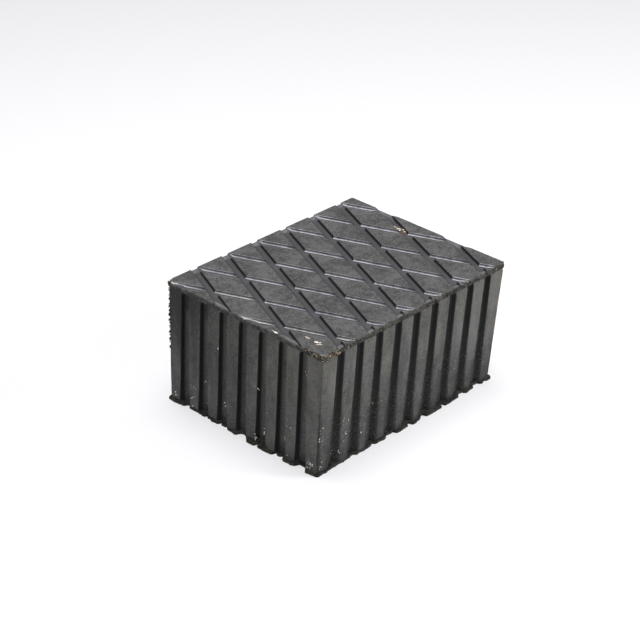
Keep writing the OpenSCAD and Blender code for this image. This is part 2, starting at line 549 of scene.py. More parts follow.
def tread_half_section():
    """Points (distance, height) from the middle of a groove to the middle of a pad."""
    edge = TREAD_GROOVE_W / 2
    wall_top = edge - 0.5 * mm
    wall_foot = edge - 0.75 * mm
    half = [(0, -TREAD_DEPTH)]
    half += bend((wall_foot - 0.65 * mm, -TREAD_DEPTH), (wall_foot, 0.05 * mm - TREAD_DEPTH),
                 (wall_foot + 0.08 * mm, 0.56 * mm - TREAD_DEPTH), 5)
    half += bend((wall_top, -0.4 * mm), (wall_top + 0.05 * mm, 0), (edge + 0.15 * mm, 0), 4)
    return half + [(edge + (GROOVE_PITCH / 2 - edge) * share, 0) for share in (0.2, 0.42, 0.7, 1)]


half = tread_half_section()
tread_section = [(-x, z) for x, z in reversed(half[1:])] + half[:-1]
print("a period of the tread has", len(tread_section), "lines over", round(GROOVE_PITCH / mm, 2), "mm")

# %% Tree of the tread
tree, given = new_growth("diamond_tread", {
    "Section": "object", "Periods": "int", "Groove Pitch": "length", "Half Angle": "length",
    "Crossing": "vector", "Keep": "vector", "Finish": "material",
})
section = shape_of(tree, given["Section"])
steps = tree.node(
    "GeometryNodeAttributeDomainSize", {"component": "MESH"}, {"Geometry": section}, "Point Count",
)
lines = given["Periods"] * steps + 1
grid = tree.node("GeometryNodeMeshGrid", None, {"Vertices X": lines, "Vertices Y": lines}, "Mesh")
number = tree.node("GeometryNodeInputIndex")
where = tree.node("GeometryNodeInputPosition")


def read_section(line):
    """Distance and depth of a grid line."""
    period = tree.maths("FLOOR", line / steps)
    point = tree.node(
        "GeometryNodeSampleIndex", {"data_type": "FLOAT_VECTOR", "domain": "POINT"},
        {"Geometry": section, "Value": where, "Index": tree.maths("ROUND", line - period * steps)},
    )
    distance, _, depth = tree.split(point)
    return (period - given["Periods"] * 0.5) * given["Groove Pitch"] + distance, depth


first_line = tree.maths("FLOOR", (number + 0.5) / lines)
across_a, depth_a = read_section(first_line)
across_b, depth_b = read_section(number - first_line * lines)
middle_x, middle_y, top = tree.split(given["Crossing"])
keep_x, keep_y, _ = tree.split(given["Keep"])
x = middle_x + (across_a + across_b) / (2 * tree.maths("COSINE", given["Half Angle"]))
y = middle_y + (across_b - across_a) / (2 * tree.maths("SINE", given["Half Angle"]))
z = top + tree.maths("MINIMUM", depth_a, depth_b)
spot = tree.node("ShaderNodeCombineXYZ", None, {"X": x, "Y": y, "Z": z})
sheet = tree.node("GeometryNodeSetPosition", None, {"Geometry": grid, "Position": spot})
beyond_x = tree.maths("GREATER_THAN", tree.maths("ABSOLUTE", x), keep_x)
beyond_y = tree.maths("GREATER_THAN", tree.maths("ABSOLUTE", y), keep_y)
too_far = {"Geometry": sheet, "Selection": tree.maths("MAXIMUM", beyond_x, beyond_y)}
kept = tree.node("GeometryNodeDeleteGeometry", {"domain": "POINT"}, too_far)
close_growth(tree, kept, given["Finish"])

# %% Grow the tread
section_line = mesh_object("tread_section", [(x, 0, z) for x, z in tread_section])
tread = grow("tread", tree, {
    "Section": section_line,
    "Periods": 12,
    "Groove Pitch": GROOVE_PITCH,
    "Half Angle": DIAMOND_ANGLE,
    "Crossing": (*CROSSING, HEIGHT - 0.12 * mm),
    "Keep": (HALF_L + 8 * mm, HALF_W + 18 * mm, 0),
    "Finish": rubber,
})
drop(section_line)
print("tread sheet has", len(tread.data.polygons), "faces before it is trimmed")

# %% [markdown]
# ## Trimming the tread to the plate
# The sheet is cut along the four sides and round the four corners, a little inside the
# plate's outline, so that the side can start with a small soft edge. Long edges along the
# cut are split, because the torn side below needs a vertex at each millimetre.

# %% Cut the sheet
LIP = 0.25 * mm
RIM_LINES = (0.5, 1.1, 1.9, 2.8, 4.0)
RIM_MERGE = 0.12 * mm
RIM_EDGE = 0.75 * mm


def cut(bm, point, normal, clear=False):
    """Cut a mesh with a plane, and take away what lies beyond it if asked."""
    bmesh.ops.bisect_plane(
        bm, geom=bm.verts[:] + bm.edges[:] + bm.faces[:], dist=1e-7,
        plane_co=point, plane_no=normal, clear_outer=clear,
    )


def cut_sides(bm, inset, clear=False):
    for side in (-1, 1):
        cut(bm, (side * (HALF_L - inset), 0, 0), (side, 0, 0), clear)
        cut(bm, (0, side * (HALF_W - inset), 0), (0, side, 0), clear)


def trim_to_plate(bm):
    cut_sides(bm, LIP, clear=True)
    for sx, sy in CORNERS:
        centre = Vector((sx * (HALF_L - LIP - CORNER_R), sy * (HALF_W - LIP - CORNER_R), 0))
        for turn in (18, 36, 54, 72):
            out = Vector((sx * math.cos(math.radians(turn)), sy * math.sin(math.radians(turn)), 0))
            cut(bm, centre + out * CORNER_R, out, clear=True)


def split_border(bm, longest):
    """Split the open border's edges until none is longer than this."""
    for cuts in (3, 2, 1, 1):
        edges = [e for e in bm.edges if e.is_boundary and e.calc_length() > (cuts + 0.5) * longest]
        if edges:
            bmesh.ops.subdivide_edges(bm, edges=edges, cuts=cuts)


# %% Shape of the rim
END_DEPTH = 1.1 * mm
DAM_FROM = 4 * mm
DAM_TO = 1.6 * mm
# How low and how wide the tread's edge is rounded, on the worn left strip and elsewhere
LEFT_STRIP = 4 * mm
LEFT_ROUND = (0.85 * mm, 3.6 * mm)
RIM_ROUND = (0.3 * mm, 1.2 * mm)
SMEAR = 13 * mm
SMEAR_DROP = 0.2 * mm
CORNER_DROP = 0.35 * mm


def settled(point):
    """Height of a tread point at the rim, with a dam across each groove and a round edge."""
    edge = from_rim(point)
    dam = HEIGHT - TREAD_DEPTH + (TREAD_DEPTH - END_DEPTH) * smooth(ramp(edge, DAM_FROM, DAM_TO))
    drop_by, wide = LEFT_ROUND if point.x < LEFT_STRIP - HALF_L else RIM_ROUND
    drop_by *= 1 + 0.5 * wobble(point, 7 * mm)
    return max(point.z, dam) - drop_by * ramp(edge, wide, 0) ** 2


def worn_corner(point):
    """Height of a tread point after the front corner's groove was smeared shut."""
    level = HEIGHT - SMEAR_DROP * (1 + wobble(point, 1.8 * mm))
    level -= CORNER_DROP * ramp(from_front(point), 1.2 * mm, 0)
    return point.z + (level - point.z) * ramp(from_corner(point), 1.25 * SMEAR, 0.25 * SMEAR)


# %% Trim the sheet
skin = bmesh.new()
skin.from_mesh(tread.data)
bmesh.ops.remove_doubles(skin, verts=skin.verts[:], dist=1e-6)
for v in skin.verts:
    v.co.xy = stretched(ASKEW, v.co)
trim_to_plate(skin)
# Lines near the four sides give the rim vertices to bend with
for inset in RIM_LINES:
    cut_sides(skin, inset * mm)
sunk = skin.verts.layers.float.new("sunk")
for v in skin.verts:
    v[sunk] = (HEIGHT - v.co.z) / TREAD_DEPTH
    v.co.z = settled(v.co)
    v.co.z = worn_corner(v.co)
bmesh.ops.remove_doubles(skin, verts=[v for v in skin.verts if v.is_boundary], dist=RIM_MERGE)
split_border(skin, RIM_EDGE)
drop(tread)
on_rim = sum(v.is_boundary for v in skin.verts)
print("trimmed tread has", len(skin.faces), "faces and", on_rim, "vertices on its rim")

# %% [markdown]
# ## Walking round an open border
# The block is closed ring by ring: the torn side of the plate hangs from the tread's rim,
# and the flash grows out of the foot. Each ring is a copy of the one before, moved.


# %% Rings round a border
def border_loop(bm, wanted=lambda edge: True):
    """The vertices of an open border in order."""
    beside = {}
    edges = [e for e in bm.edges if e.is_boundary and wanted(e)]
    for edge in edges:
        first, second = edge.verts
        beside.setdefault(first, []).append(second)
        beside.setdefault(second, []).append(first)
    loop = list(edges[0].verts)
    while True:
        ahead = [v for v in beside[loop[-1]] if v is not loop[-2]][0]
        if ahead is loop[0]:
            return loop
        loop.append(ahead)


def add_ring(bm, loop, places):
    ring = [bm.verts.new(place) for place in places]
    for i in range(len(loop)):
        bm.faces.new((loop[i - 1], loop[i], ring[i], ring[i - 1]))
    return ring


def outwards(point, inset, radius):
    """Which way is out at a point of a round-cornered box, set in from the block's sides."""
    out_x = abs(point.x) - (HALF_L - inset)
    out_y = abs(point.y) - (HALF_W - inset)
    if out_x + radius > 0 and out_y + radius > 0:
        way = Vector((math.copysign(out_x + radius, point.x), math.copysign(out_y + radius, point.y), 0))
        return way.normalized()
    return Vector((math.copysign(1, point.x), 0, 0) if out_x > out_y else (0, math.copysign(1, point.y), 0))


# %% [markdown]
# ## The torn side of the plate
# When the block left its mould, the plate's rim was torn off along the front long side and
# stayed rough there, while the short side kept a smoother skin that roughens towards the
# front corner. That corner is worn round. So each ring is moved inwards by noise that is
# strong on the torn side, and at the corner the lowest rings hang below the plate.


# %% Wear of the plate's side
TORN_STRIP = 1.5 * mm
LEFT_ROUGHENS = (-25 * mm, -45 * mm)
WORN_REACH = 14 * mm
CORNER_HANG = 1.8 * mm
CORNER_ROUND = 0.25 * mm
# Rings as (share of the way down, how far out in mm, how torn)
PLATE_RINGS = ((0.1, 0.3, 0.4), (0.32, 0.35, 0.65), (0.6, 0.35, 0.75), (0.86, 0.3, 0.7))


def roughness_at(point):
    """How torn the plate's side is at a place, from 0 to 1."""
    if point.y < TORN_STRIP - HALF_W:
        return 1.0
    return 0.3 + 0.5 * ramp(point.y, *LEFT_ROUGHENS) if point.x < 0 else 0.75


def corner_wear(point):
    """1 at the worn front corner, and 0 from its reach on."""
    return ramp(from_corner(point), WORN_REACH, 0)


def side_ring(tops, share, out, tear):
    """Places of one ring between the rim and the plate's underside."""
    places = []
    for top in tops:
        worn = corner_wear(top)
        spot = Vector((top.x, top.y, top.z + (RIB_H - top.z) * share - CORNER_HANG * worn * share ** 3))
        ragged = wobble(spot, 1.3 * mm, 3) + 0.6 * wobble(spot, 3.5 * mm, 9)
        rough = tear * roughness_at(top)
        inward = 1.2 * rough * max(0.0, 0.4 + ragged) + CORNER_ROUND * worn * (1 - share)
        spot.z += 0.5 * rough * wobble(spot, 2.2 * mm, 21)
        places.append(spot + outwards(top, LIP, CORNER_R) * (out - inward))
    return places


# %% Hang the plate's side from the tread
rim = border_loop(skin)
tops = [v.co.copy() for v in rim]
for share, out, tear in PLATE_RINGS:
    rim = add_ring(skin, rim, side_ring(tops, share, out * mm, tear * mm))
rim = add_ring(skin, rim, [Vector((t.x, t.y, RIB_H)) - 0.1 * mm * outwards(t, LIP, CORNER_R) for t in tops])
print("the plate's side has", len(rim), "columns")

# %% [markdown]
# ## One rib
# The ribs repeat along each side, so one rib is drawn and Geometry Nodes put the row in
# place. A rib runs from the middle of one groove to the middle of the next. Its section
# changes on the way down: the groove's mouth widens slowly, and quickly near the foot,
# so the rib tapers and its flanks grow soft.

# %% Sizes of the ribs
LONG_PITCH = 16.13 * mm
SHORT_PITCH = 15.19 * mm
LONG_GROOVES = 9
SHORT_GROOVES = 7
GROOVE_DEPTH = 2.9 * mm
GROOVE_MOUTHS = ((RIB_H, 5.8 * mm), (17 * mm, 6.9 * mm), (0, 8.7 * mm))
FLOOR_W = 6.2 * mm
FLOOR_ROUND = 0.8 * mm
FLASH_TOP = 1.7 * mm
EDGE_ROUND = 0.55 * mm
LONG_SOFT = 0.5 * mm
LEVELS = [FLASH_TOP] + [h * mm for h in (3, 4.5, 6.5, 9, 11.5, 14, 17, 20, 23, 26)]
LEVELS += [(26 + 50 * i / 18) * mm for i in range(1, 19)]
print("a wall has", len(LEVELS), "levels, from", LEVELS[0] / mm, "to", round(LEVELS[-1] / mm, 1), "mm")


# %% Section from the middle of a groove to a rib's face
def mouth_at(z):
    """Half the width of a groove's mouth at a height."""
    (high, top_w), (mid, mid_w), (_, foot_w) = GROOVE_MOUTHS
    if z > mid:
        return (mid_w + (top_w - mid_w) * (z - mid) / (high - mid)) / 2
    return (foot_w + (mid_w - foot_w) * (z / mid) ** 0.8) / 2


def lean_at(z):
    """How far the ribbed wall leans in at a height."""
    return PLATE_LIP + DRAFT * (1 - z / RIB_H)


def between(first, second, distance):
    """A point on the line from first to second, at a distance from first."""
    span = math.dist(first, second)
    return tuple(a + (b - a) * distance / span for a, b in zip(first, second))


def groove_half(z, soft=0.0):
    """Points (along, depth) from a groove's middle to the face of the rib beside it."""
    edge_round = EDGE_ROUND + soft * ramp(z, 45 * mm, 0)
    mouth = (mouth_at(z), 0)
    foot = (min(FLOOR_W / 2, mouth_at(z) - 0.12 * mm), GROOVE_DEPTH)
    half = [(0, GROOVE_DEPTH), (foot[0] * 0.45, GROOVE_DEPTH)]
    half += bend((foot[0] - FLOOR_ROUND, GROOVE_DEPTH), foot, between(foot, mouth, FLOOR_ROUND), 3)
    half += bend(between(mouth, foot, edge_round), mouth, (mouth[0] + edge_round, 0), 4)
    return half


def rib_section(pitch, z):
    """Points (along, depth) across one rib, from groove middle to groove middle."""
    half = groove_half(z, LONG_SOFT if pitch == LONG_PITCH else 0)
    face = pitch / 2 - half[-1][0]
    left = [(x - pitch / 2, d) for x, d in half]
    left += [(-face * share, 0) for share in (0.75, 0.5, 0.25)]
    return left + [(0, 0)] + [(-x, d) for x, d in reversed(left)]


def wall_strip(name, rows):
    """A wall through rows of the same number of points."""
    wide = len(rows[0])
    starts = [row * wide + i for row in range(len(rows) - 1) for i in range(wide - 1)]
    faces = [(start, start + 1, start + wide + 1, start + wide) for start in starts]
    return mesh_object(name, [point for row in rows for point in row], faces)


def one_rib(name, pitch, half_width):
    """A rib on the side that faces -Y."""
    return wall_strip(name, [
        [(x, -(half_width - lean_at(z)) + d, z) for x, d in rib_section(pitch, z)] for z in LEVELS
    ])


# %% Tree of a row of ribs
tree, given = new_growth("rib_row", {
    "Rib": "object", "Ribs": "int", "Rib Pitch": "length", "Turn": "vector", "Finish": "material",
})
start = tree.node("ShaderNodeCombineXYZ", None, {"X": (1 - given["Ribs"]) * 0.5 * given["Rib Pitch"]})
step = tree.node("ShaderNodeCombineXYZ", None, {"X": given["Rib Pitch"]})
row = copies(tree, point_line(tree, given["Ribs"], start, step), shape_of(tree, given["Rib"]))
turned = tree.node("GeometryNodeTransform", None, {"Geometry": row, "Rotation": given["Turn"]})
close_growth(tree, turned, given["Finish"])

# %% Grow the four rows
rows = []
for name, pitch, grooves, half_width, turns in (
    ("long_rib", LONG_PITCH, LONG_GROOVES, HALF_W, (0, 180)),
    ("short_rib", SHORT_PITCH, SHORT_GROOVES, HALF_L, (90, 270)),
):
    shape = one_rib(name, pitch, half_width)
    for turn in turns:
        rows.append(grow(f"{name}_row_{turn}", tree, {
            "Rib": shape,
            "Ribs": grooves - 1,
            "Rib Pitch": pitch,
            "Turn": (0, 0, math.radians(turn)),
            "Finish": rubber,
        }))
    drop(shape)
print("rows of ribs:", [(r.name, len(r.data.polygons)) for r in rows])

# %% [markdown]
# ## The corner ribs
# The wide rib at each corner turns through the corner with a small round. It starts in
# the middle of the last groove of one side and ends in the middle of the first groove of
# the next, exactly on the rows' open edges, so the wall can be welded shut.

# %% Corner ribs
UPRIGHT_R = 0.4 * mm
FACE_STEPS = 8


def face_line(start, end):
    """Steps along a face, without its two ends."""
    return [start + (end - start) * i / FACE_STEPS for i in range(1, FACE_STEPS)]


def corner_path(z):
    """Points round the corner at +X +Y, at one height."""
    out_x = HALF_L - lean_at(z)
    out_y = HALF_W - lean_at(z)
    last_x = (LONG_GROOVES - 1) / 2 * LONG_PITCH
    last_y = (SHORT_GROOVES - 1) / 2 * SHORT_PITCH
    path = [(last_x + x, out_y - d) for x, d in groove_half(z, LONG_SOFT)]
    round_x = out_x - UPRIGHT_R
    path += [(x, out_y) for x in face_line(path[-1][0], round_x)]
    for i in range(6):
        turn = math.radians(90 - 18 * i)
        path.append((round_x + UPRIGHT_R * math.cos(turn), out_y + UPRIGHT_R * (math.sin(turn) - 1)))
    half = groove_half(z)
    path += [(out_x, y) for y in face_line(path[-1][1], last_y + half[-1][0])]
    return path + [(out_x - d, last_y + x) for x, d in reversed(half)]


for sx, sy in CORNERS:
    rows.append(wall_strip("corner_rib", [[(sx * x, sy * y, z) for x, y in corner_path(z)] for z in LEVELS]))

wall = bmesh.new()
for row in rows:
    wall.from_mesh(row.data)
    drop(row)
bmesh.ops.remove_doubles(wall, verts=wall.verts[:], dist=0.005 * mm)
print("the wall has", len(wall.faces), "faces,", sum(e.is_boundary for e in wall.edges), "open edges")

# %% [markdown]
# ## The flash at the foot
# Rubber was squeezed out between the mould halves and left a thin ragged sheet round the
# foot. On the two front sides its lobes follow the photograph, so they are listed one by one.
# On the hidden sides each rib gets one lobe of about the same reach. Rings carry the flash
# outwards from the wall, over a round edge and back under to the floor.

# %% Slide of the ribs
SLIDE_SOFT = (2 * mm, 12 * mm)


# The block set a little askew as it cooled: its ribs slide sideways towards the foot
def slid(point):
    """Where a point of the ribbed wall or the flash comes to lie."""
    down = ramp(point.z, RIB_H, 0)
    to_back = max(ramp(HALF_W - point.y, 0, 10 * mm), 0.15)
    lean_in = -2 * point.x / LENGTH * (down - 0.4)
    by_x = (0.55 + lean_in) * mm * ramp(point.x + HALF_L, *SLIDE_SOFT) * (0.5 - point.y / WIDTH)
    by_y = (0.6 * to_back + 1.3 * down) * mm * ramp(point.y + HALF_W, *SLIDE_SOFT)
    by_y *= 0.5 - point.x / LENGTH
    return in_box(point + Vector((by_x, by_y, 0)))


# %% Lobes of the flash
random.seed(41)


def even_lobes(pitch, count, first, last):
    """Lobes as (from, to, reach at its start, reach at its end) in mm, one for each rib."""
    lobes = []
    for i in range(count):
        reach = (first + (last - first) * i / (count - 1)) * random.uniform(0.8, 1.0)
        start = (i - count / 2) * pitch / mm
        lobes.append((start + 1.5, start + pitch / mm - 0.5, reach, reach * 0.5))
    return lobes


# Lobes along +x on the front side and along +y on the left side
FRONT_LOBES = ((-80, -49, 0.8, 0.4), (-46, -31, 0.6, 1.0), (-29, -18, 1.1, 1.0), (-11.5, 1, 2.1, 2.1),
               (2.5, 13, 3.4, 1.4), (15.5, 31.5, 3.6, 2.4), (32.5, 48, 2.8, 1.9), (52.5, 63, 2.4, 1.4),
               (67.5, 73, 2.0, 0.9), (73, 80, 2.6, 2.9))
LEFT_LOBES = ((-60, -48, 2.7, 1.8), (-42, -31, 1.9, 1.9), (-31, -25, 0.1, 0.3), (-25, -12, 2.2, 2.9),
              (-12, -3, 2.7, 2.5), (3, 13, 1.9, 1.4), (13, 18.5, 0.3, 0.4), (18.5, 29.5, 1.4, 0.6),
              (29.5, 44, 1.1, -0.3), (46, 60, 1.2, 2.3))
# Each side: its lobes, and how far the flash reaches between them, in mm
FLASH_SIDES = {
    "front": (FRONT_LOBES, -0.3),
    "right": (even_lobes(SHORT_PITCH, 8, 2.2, 1.2), 0.4),
    "back": (even_lobes(LONG_PITCH, 10, 2.2, 1.2), 0.4),
    "left": (LEFT_LOBES, -1.7),
}
# Reach at the corners, front and back: two on the left, then two on the right
CORNER_FLASH = ((0.9 * mm, 1.8 * mm), (2.0 * mm, 1.2 * mm))
CORNER_ZONE = (7 * mm, 1 * mm)
MOST_FLASH = 2.75 * mm
LEAST_FLASH = 0.2 * mm
print("lobes of the flash:", {side: len(lobes) for side, (lobes, _) in FLASH_SIDES.items()})


# %% How far the flash reaches
def side_reach(side, along):
    """Reach of the flash at a distance from the middle of a side, with its lobes."""
    lobes, between_lobes = FLASH_SIDES[side]
    for start, end, first, last in lobes:
        share = (along / mm - start) / (end - start)
        if 0 <= share <= 1:
            in_by = min(min(share, 1 - share) * (end - start) / 2.2, 1)
            reach = first + (last - first) * share
            return (between_lobes + (reach - between_lobes) * (1 - (1 - in_by) ** 2.5)) * mm
    return between_lobes * mm


def flash_reach(foot):
    """Which way the flash grows from a point of the wall's foot, and how far."""
    ground = Vector((foot.x, foot.y, 0))
    in_x = HALF_L - lean_at(0) - abs(foot.x)
    in_y = HALF_W - lean_at(0) - abs(foot.y)
    if in_x < in_y:
        reach = side_reach("right" if foot.x > 0 else "left", slid(ground).y)
    else:
        reach = side_reach("back" if foot.y > 0 else "front", slid(ground).x)
    near = smooth(ramp(max(in_x, in_y), *CORNER_ZONE))
    reach = reach * (1 - near) + CORNER_FLASH[foot.x > 0][foot.y > 0] * near
    ragged = 0.45 * wobble(ground, 1.5 * mm, 5) + 0.5 * wobble(ground, 3.2 * mm, 8)
    way = outwards(foot, lean_at(0), UPRIGHT_R)
    inset = 0 if way.x and way.y else in_x if way.x else in_y
    return way, max(inset + min(reach + ragged * mm, MOST_FLASH), LEAST_FLASH)


# %% Grow the flash out of the foot
# Rings as (share of the reach, height in mm)
FLASH_RINGS = ((0.45, 1.6), (0.8, 1.6), (0.95, 1.45), (1.0, 1.1), (1.0, 0.5))
UNDER_EDGE = 0.97


def foot_edge(edge):
    return max(v.co.z for v in edge.verts) < FLASH_TOP + 0.1 * mm


def flash_ring(share, z, drop_by=0.0, rough=0.12 * mm):
    """Places of one ring of the flash. A share of 1 is its ragged edge."""
    places = []
    for start, (way, reach) in zip(feet, reaches):
        at = start + way * (reach * share - drop_by)
        places.append(Vector((at.x, at.y, z + rough * wobble(at, 2.5 * mm, 12))))
    return places


foot = border_loop(wall, foot_edge)
feet = [v.co.copy() for v in foot]
reaches = [flash_reach(start) for start in feet]
for v in foot:
    v.co.z += 0.5 * mm * wobble(v.co, 7 * mm, 30)
for share, z in FLASH_RINGS:
    foot = add_ring(wall, foot, flash_ring(share, z * mm))
foot = add_ring(wall, foot, flash_ring(UNDER_EDGE, 0.12 * mm, rough=0))
foot = add_ring(wall, foot, flash_ring(UNDER_EDGE, 0, drop_by=0.25 * mm, rough=0))
sole = [wall.edges.get((foot[i - 1], foot[i])) for i in range(len(foot))]
bmesh.ops.triangle_fill(wall, use_beauty=True, edges=sole, normal=(0, 0, -1))
print("the foot's outline has", len(foot), "points")

# %% [markdown]
# ## One closed skin
# The wall and the flash join the tread under the plate. The plate's underside is filled
# between two borders, the plate's rim and the wall's top.

# %% Join the wall to the plate
wall_mesh = keep_mesh(wall, "wall")
skin.from_mesh(wall_mesh)
bpy.data.meshes.remove(wall_mesh)
under = [e for e in skin.edges if e.is_boundary]
bmesh.ops.triangle_fill(skin, use_beauty=True, edges=under, normal=(0, 0, -1))
bmesh.ops.triangulate(skin, faces=[f for f in skin.faces if len(f.verts) > 4])
bmesh.ops.recalc_face_normals(skin, faces=skin.faces[:])
open_edges = sum(not e.is_manifold for e in skin.edges)
print("the skin has", len(skin.faces), "faces and", open_edges, "open edges")

# %% [markdown]
# ## Masks
# The material can't know where a groove or a torn edge is, so each vertex carries that as
# a share from 0 to 1. Each function below gives one mask. They are read before the ribs
# slide and the skin gets its waves, while every wall still lies where the sizes say.


# %% Places in the grooves
def in_groove(point):
    """Depth of a wall point, how far right of the nearest groove's middle, and its side."""
    depth_x = HALF_L - lean_at(point.z) - abs(point.x)
    depth_y = HALF_W - lean_at(point.z) - abs(point.y)
    long_side = depth_y < depth_x
    along, pitch = (point.x, LONG_PITCH) if long_side else (point.y, SHORT_PITCH)
    return max(min(depth_x, depth_y), 0.0), along - round(along / pitch) * pitch, long_side


RIM_INSET = 0.5 * mm


def on_tread(point):
    return from_rim(point) > RIM_INSET and point.z > RIB_H + 1 * mm


def across_groove(point):
    """How far right of the middle of a tread groove of the first family a point lies, and its period."""
    x, y = [at - middle for at, middle in zip(stretched(UPRIGHT, point), CROSSING)]
    periods = (x * math.cos(DIAMOND_ANGLE) - y * math.sin(DIAMOND_ANGLE)) / GROOVE_PITCH
    return (periods - round(periods)) * GROOVE_PITCH, periods % 1


def family(normal):
    """Which groove a tread wall belongs to: -1 leaning left, 1 leaning right, 0 neither."""
    flat = math.hypot(normal.x, normal.y)
    return min(max(normal.x * normal.y / (flat * flat) / 0.3, -1), 1) if flat > 0.05 else 0.0


# %% Masks of the grooves: painted shade and painted highlights
def groove_shade_share(v):
    """Painted shade in a groove, from 0 on a face to 1 on a groove's floor; on the short sides' floors it
    grows towards one wall and near the foot.
    """
    z = v.co.z
    if z > RIB_H:
        return min(ramp(z, HEIGHT, HEIGHT - TREAD_DEPTH), v[sunk]) if from_rim(v.co) > RIM_INSET else 0.0
    if z < FLASH_TOP - 0.05 * mm:
        return 0.0
    depth, across, long_side = in_groove(v.co)
    wall = ramp(depth, 0.05 * mm, 0.35 * mm)
    if long_side or depth < GROOVE_DEPTH - 0.3 * mm:
        return wall
    beside_wall = 0.1 + 0.6 * ramp(across, -0.6 * mm, 2.6 * mm)
    return wall * max(beside_wall, ramp(z, 11 * mm, 5 * mm))


def black_wall_shade_share(v):
    """Black painted shade on the walls of one family of tread grooves, a band on their floors, and in the
    side grooves' nooks and short-side walls.
    """
    z = v.co.z
    if on_tread(v.co):
        slope = v.normal.z
        soft_lip = 0.8 * band(slope, 0.5, 0.998, 0.02) * (v.normal.x > 0)
        wall = max(0.0, -family(v.normal)) * max(ramp(slope, 0.95, 0.77), soft_lip)
        across, _ = across_groove(v.co)
        floor = slope > 0.97 and abs(across) < 2.1 * mm and z < HEIGHT - 0.9 * TREAD_DEPTH
        return max(wall, 0.6 * ramp(across, 0, -1.4 * mm) if floor else 0.0)
    if z > RIB_H - 0.2 * mm or z < FLASH_TOP:
        return 0.0
    depth, across, long_side = in_groove(v.co)
    nook = ramp(abs(abs(across) - 2.7 * mm), 0.5 * mm, 0) * ramp(depth, 0, 1.5 * mm)
    wall = 0.0 if long_side else ramp(depth, 0.02 * mm, 0.22 * mm) * (depth < 2.6 * mm)
    return max((0.3 if long_side and across <= 0 else 0.85) * nook, wall)


def violet_wall_shade_share(v):
    """Dark violet painted shade on the walls of the other family."""
    return max(0.0, family(v.normal)) * band(v.normal.z, -0.5, 0.6, 0.25) if on_tread(v.co) else 0.0


def painted_highlight_share(v):
    """Painted highlight on the rounds of one family of tread grooves, dying out at one end, faint on the
    dams at the rim.
    """
    if not on_tread(v.co):
        return 0.0
    across, along = across_groove(v.co)
    edge = from_rim(v.co)
    slope = v.normal.z
    # A faint painted highlight on the dams where the grooves reach the rim
    if abs(across) < 2.6 * mm and edge < 4 * mm and slope > 0.7:
        return 0.1 * band(edge, 0.6 * mm, 4 * mm, 1.2 * mm) * band(across, -2.6 * mm, 2.6 * mm, 1 * mm)
    doubled = ramp(edge, 15 * mm, 9 * mm) * ramp(v.co.x, -30 * mm, -10 * mm)
    on_lip = (0.2 + 0.25 * doubled) * band(slope, 0.6, 0.995, 0.03)
    shine = band(slope, 0.22, 0.95, 0.05) if HEIGHT - v.co.z > 0.65 * mm else on_lip
    return shine * max(0.0, family(v.normal)) * (1 - 0.75 * ramp(along, 0.76, 0.9))


# %% Masks of the faces
# Darker and paler patches of painted light and shade, with some pale dust, on the two sides,
# each at (along, z) with a radius and an amount
LEFT_DUST_AND_LIGHT = ((60, 76, 34, -0.34), (8, 10, 14, 0.03), (-45, 60, 28, 0.12), (-50, 16, 22, 0.05),
              (38, 14, 16, 0.13))
FRONT_DUST_AND_LIGHT = ((-76, 62, 18, 0.05), (-58, 62, 16, 0.05), (62, 6, 12, -0.12), (42, 44, 20, 0.1),
               (60, 34, 12, 0.16), (74, 60, 14, 0.12))
SIDE_ZONE = 4 * mm


def dust_and_painted_light_share(v):
    """How much paler a side gets, or darker below 0, by painted light and shade with some pale dust, with
    painted shade beside the front grooves low down and darker towards the foot there.
    """
    x, y, z = v.co
    if z > RIB_H:
        return 0.0
    if x < SIDE_ZONE - HALF_L and y > 3 * mm - HALF_W:
        along, spots, ground = y, LEFT_DUST_AND_LIGHT, 0.0
    elif y < SIDE_ZONE - HALF_W:
        _, across, _ = in_groove(v.co)
        # Painted shade beside the grooves low on the front side, and darker towards the foot
        beside = (abs(across) - mouth_at(z)) / (2 * mm) + 0.5 * wobble(v.co, 2.2 * mm, 35)
        shade = (0.36 - 0.14 * x / HALF_L) * ramp(beside, 1, 0) * ramp(z, 46 * mm, 0) ** 0.7
        along, spots, ground = x, FRONT_DUST_AND_LIGHT, 0.14 * z / RIB_H - 0.08 - shade
    else:
        return 0.0
    return ground + sum(
        amount * math.exp(-((along / mm - at) ** 2 + (z / mm - high) ** 2) / radius ** 2)
        for at, high, radius, amount in spots
    )


def torn_share(v):
    """How much of the torn finish a point shows."""
    if v.co.z > RIB_H - 1 * mm:
        side = from_rim(v.co) < 0.75 * mm and v.co.z < HEIGHT - 1.2 * mm
        return max(roughness_at(v.co), 0.6) if side else 0.0
    return 1.0 if v.co.z < FLASH_TOP - 0.05 * mm else 0.0


def stain_share(v):
    """Brown stain down the upright corner on the right, at the left one and under the flecks."""
    x, y, z = v.co
    if z > RIB_H + 1 * mm and x > 0:
        return 0.3 * math.exp(-((x / mm - 67.5) ** 2 + (y / mm - 9) ** 2) / 20)
    if x > HALF_L - lean_at(z) - 0.6 * mm and y < 2 * mm - HALF_W:
        return 1.0
    return 0.2 if x < 5 * mm - HALF_L and y > HALF_W - 2 * mm and z > RIB_H else 0.0


